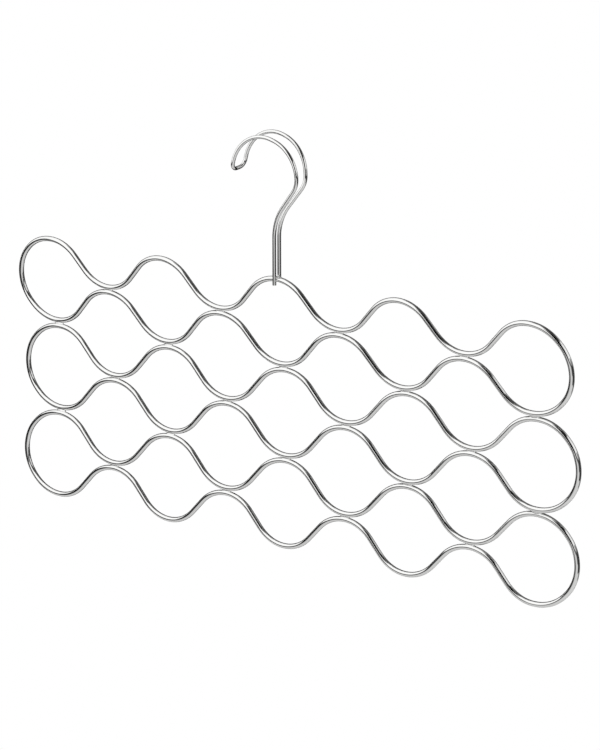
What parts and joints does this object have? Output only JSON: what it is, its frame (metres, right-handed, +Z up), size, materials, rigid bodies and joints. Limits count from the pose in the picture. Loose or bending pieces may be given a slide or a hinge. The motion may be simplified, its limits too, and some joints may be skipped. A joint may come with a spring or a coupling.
{
  "type": "scarf hanger",
  "caption": "Scarf hanger of bright bent wire: wavy closed loops welded one under another make a panel of open eyes, hung from a double-wire hook.",
  "frame": {"origin": "underside of the hook's crest, where it sits on a rail, midway between the hook's two wires", "axes": "+X to the right along the loops, +Y away from the viewer through the panel, +Z up"},
  "size_m": [0.4229, 0.0149, 0.2545],
  "materials": {
    "loop_wire": "bright chrome plating",
    "hook_wire": "bright chrome plating",
    "weld": "bright plating over a weld spot"
  },
  "bodies": {
    "root": {"top_loop": "loop_wire", "middle_loop": "loop_wire", "bottom_loop": "loop_wire", "hook": "hook_wire", "top_neck_welds": "weld", "middle_neck_welds": "weld", "bottom_neck_welds": "weld", "upper_row_welds": "weld", "lower_row_welds": "weld", "hook_welds": "weld"}
  },
  "joints": []
}
